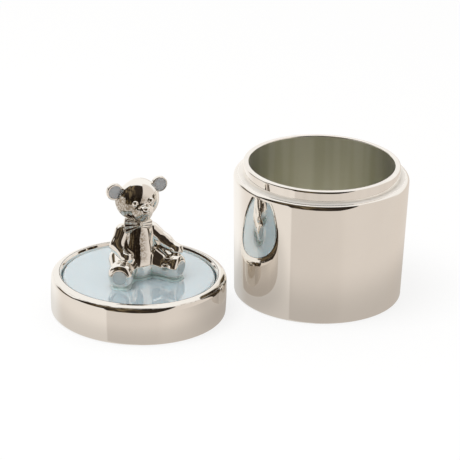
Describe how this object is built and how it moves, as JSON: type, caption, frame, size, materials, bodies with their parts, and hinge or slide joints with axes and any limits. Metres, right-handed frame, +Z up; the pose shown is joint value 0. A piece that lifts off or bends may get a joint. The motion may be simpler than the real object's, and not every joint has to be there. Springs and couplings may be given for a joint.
{
  "type": "baby tooth box",
  "caption": "Round silver-plated keepsake box for a first milk tooth, with its lift-off lid standing beside it; a small seated teddy bear on a pale enamel disc is the lid's handle.",
  "frame": {"origin": "centre of the box's flat underside, on the surface that box and lid stand on", "axes": "+Z up along the box's axis, -Y the front, +X to the right; the lid stands to the left of the box, a little in front"},
  "size_m": [0.0805, 0.0534, 0.032],
  "materials": {
    "polished_plate": "bright silver-coloured plate, polished to a mirror over the case, the lid and the cast bear",
    "satin_plate": "plate left satin from turning, inside the cup and under the base; the neck's outside is polished",
    "pale_enamel": "pale blue enamel, level and glossy",
    "grey_enamel": "grey-blue enamel fill, glossy",
    "screw_steel": "plain steel screw"
  },
  "bodies": {
    "box": {"outer_case": "polished_plate", "liner_cup": "satin_plate", "base_plate": "satin_plate"},
    "lid": {"lid_shell": "polished_plate", "lid_enamel": "pale_enamel", "bear_screw": "screw_steel", "bear_torso": "polished_plate", "bear_head": "polished_plate", "bear_nose": "polished_plate", "bear_eyes": "polished_plate", "bear_ear_right": "polished_plate", "bear_ear_left": "polished_plate", "ear_enamel_right": "grey_enamel", "ear_enamel_left": "grey_enamel", "neck_ribbon": "polished_plate", "bow": "polished_plate", "bear_leg_right": "polished_plate", "bear_leg_left": "polished_plate", "sole_enamel_right": "grey_enamel", "sole_enamel_left": "grey_enamel", "bear_arm_right": "polished_plate", "bear_arm_left": "polished_plate"}
  },
  "joints": [
    {"name": "lid_lift", "type": "slide", "parent": "box", "child": "lid", "axis": [0, 0, 1], "range_m": [0, 0.04]}
  ]
}
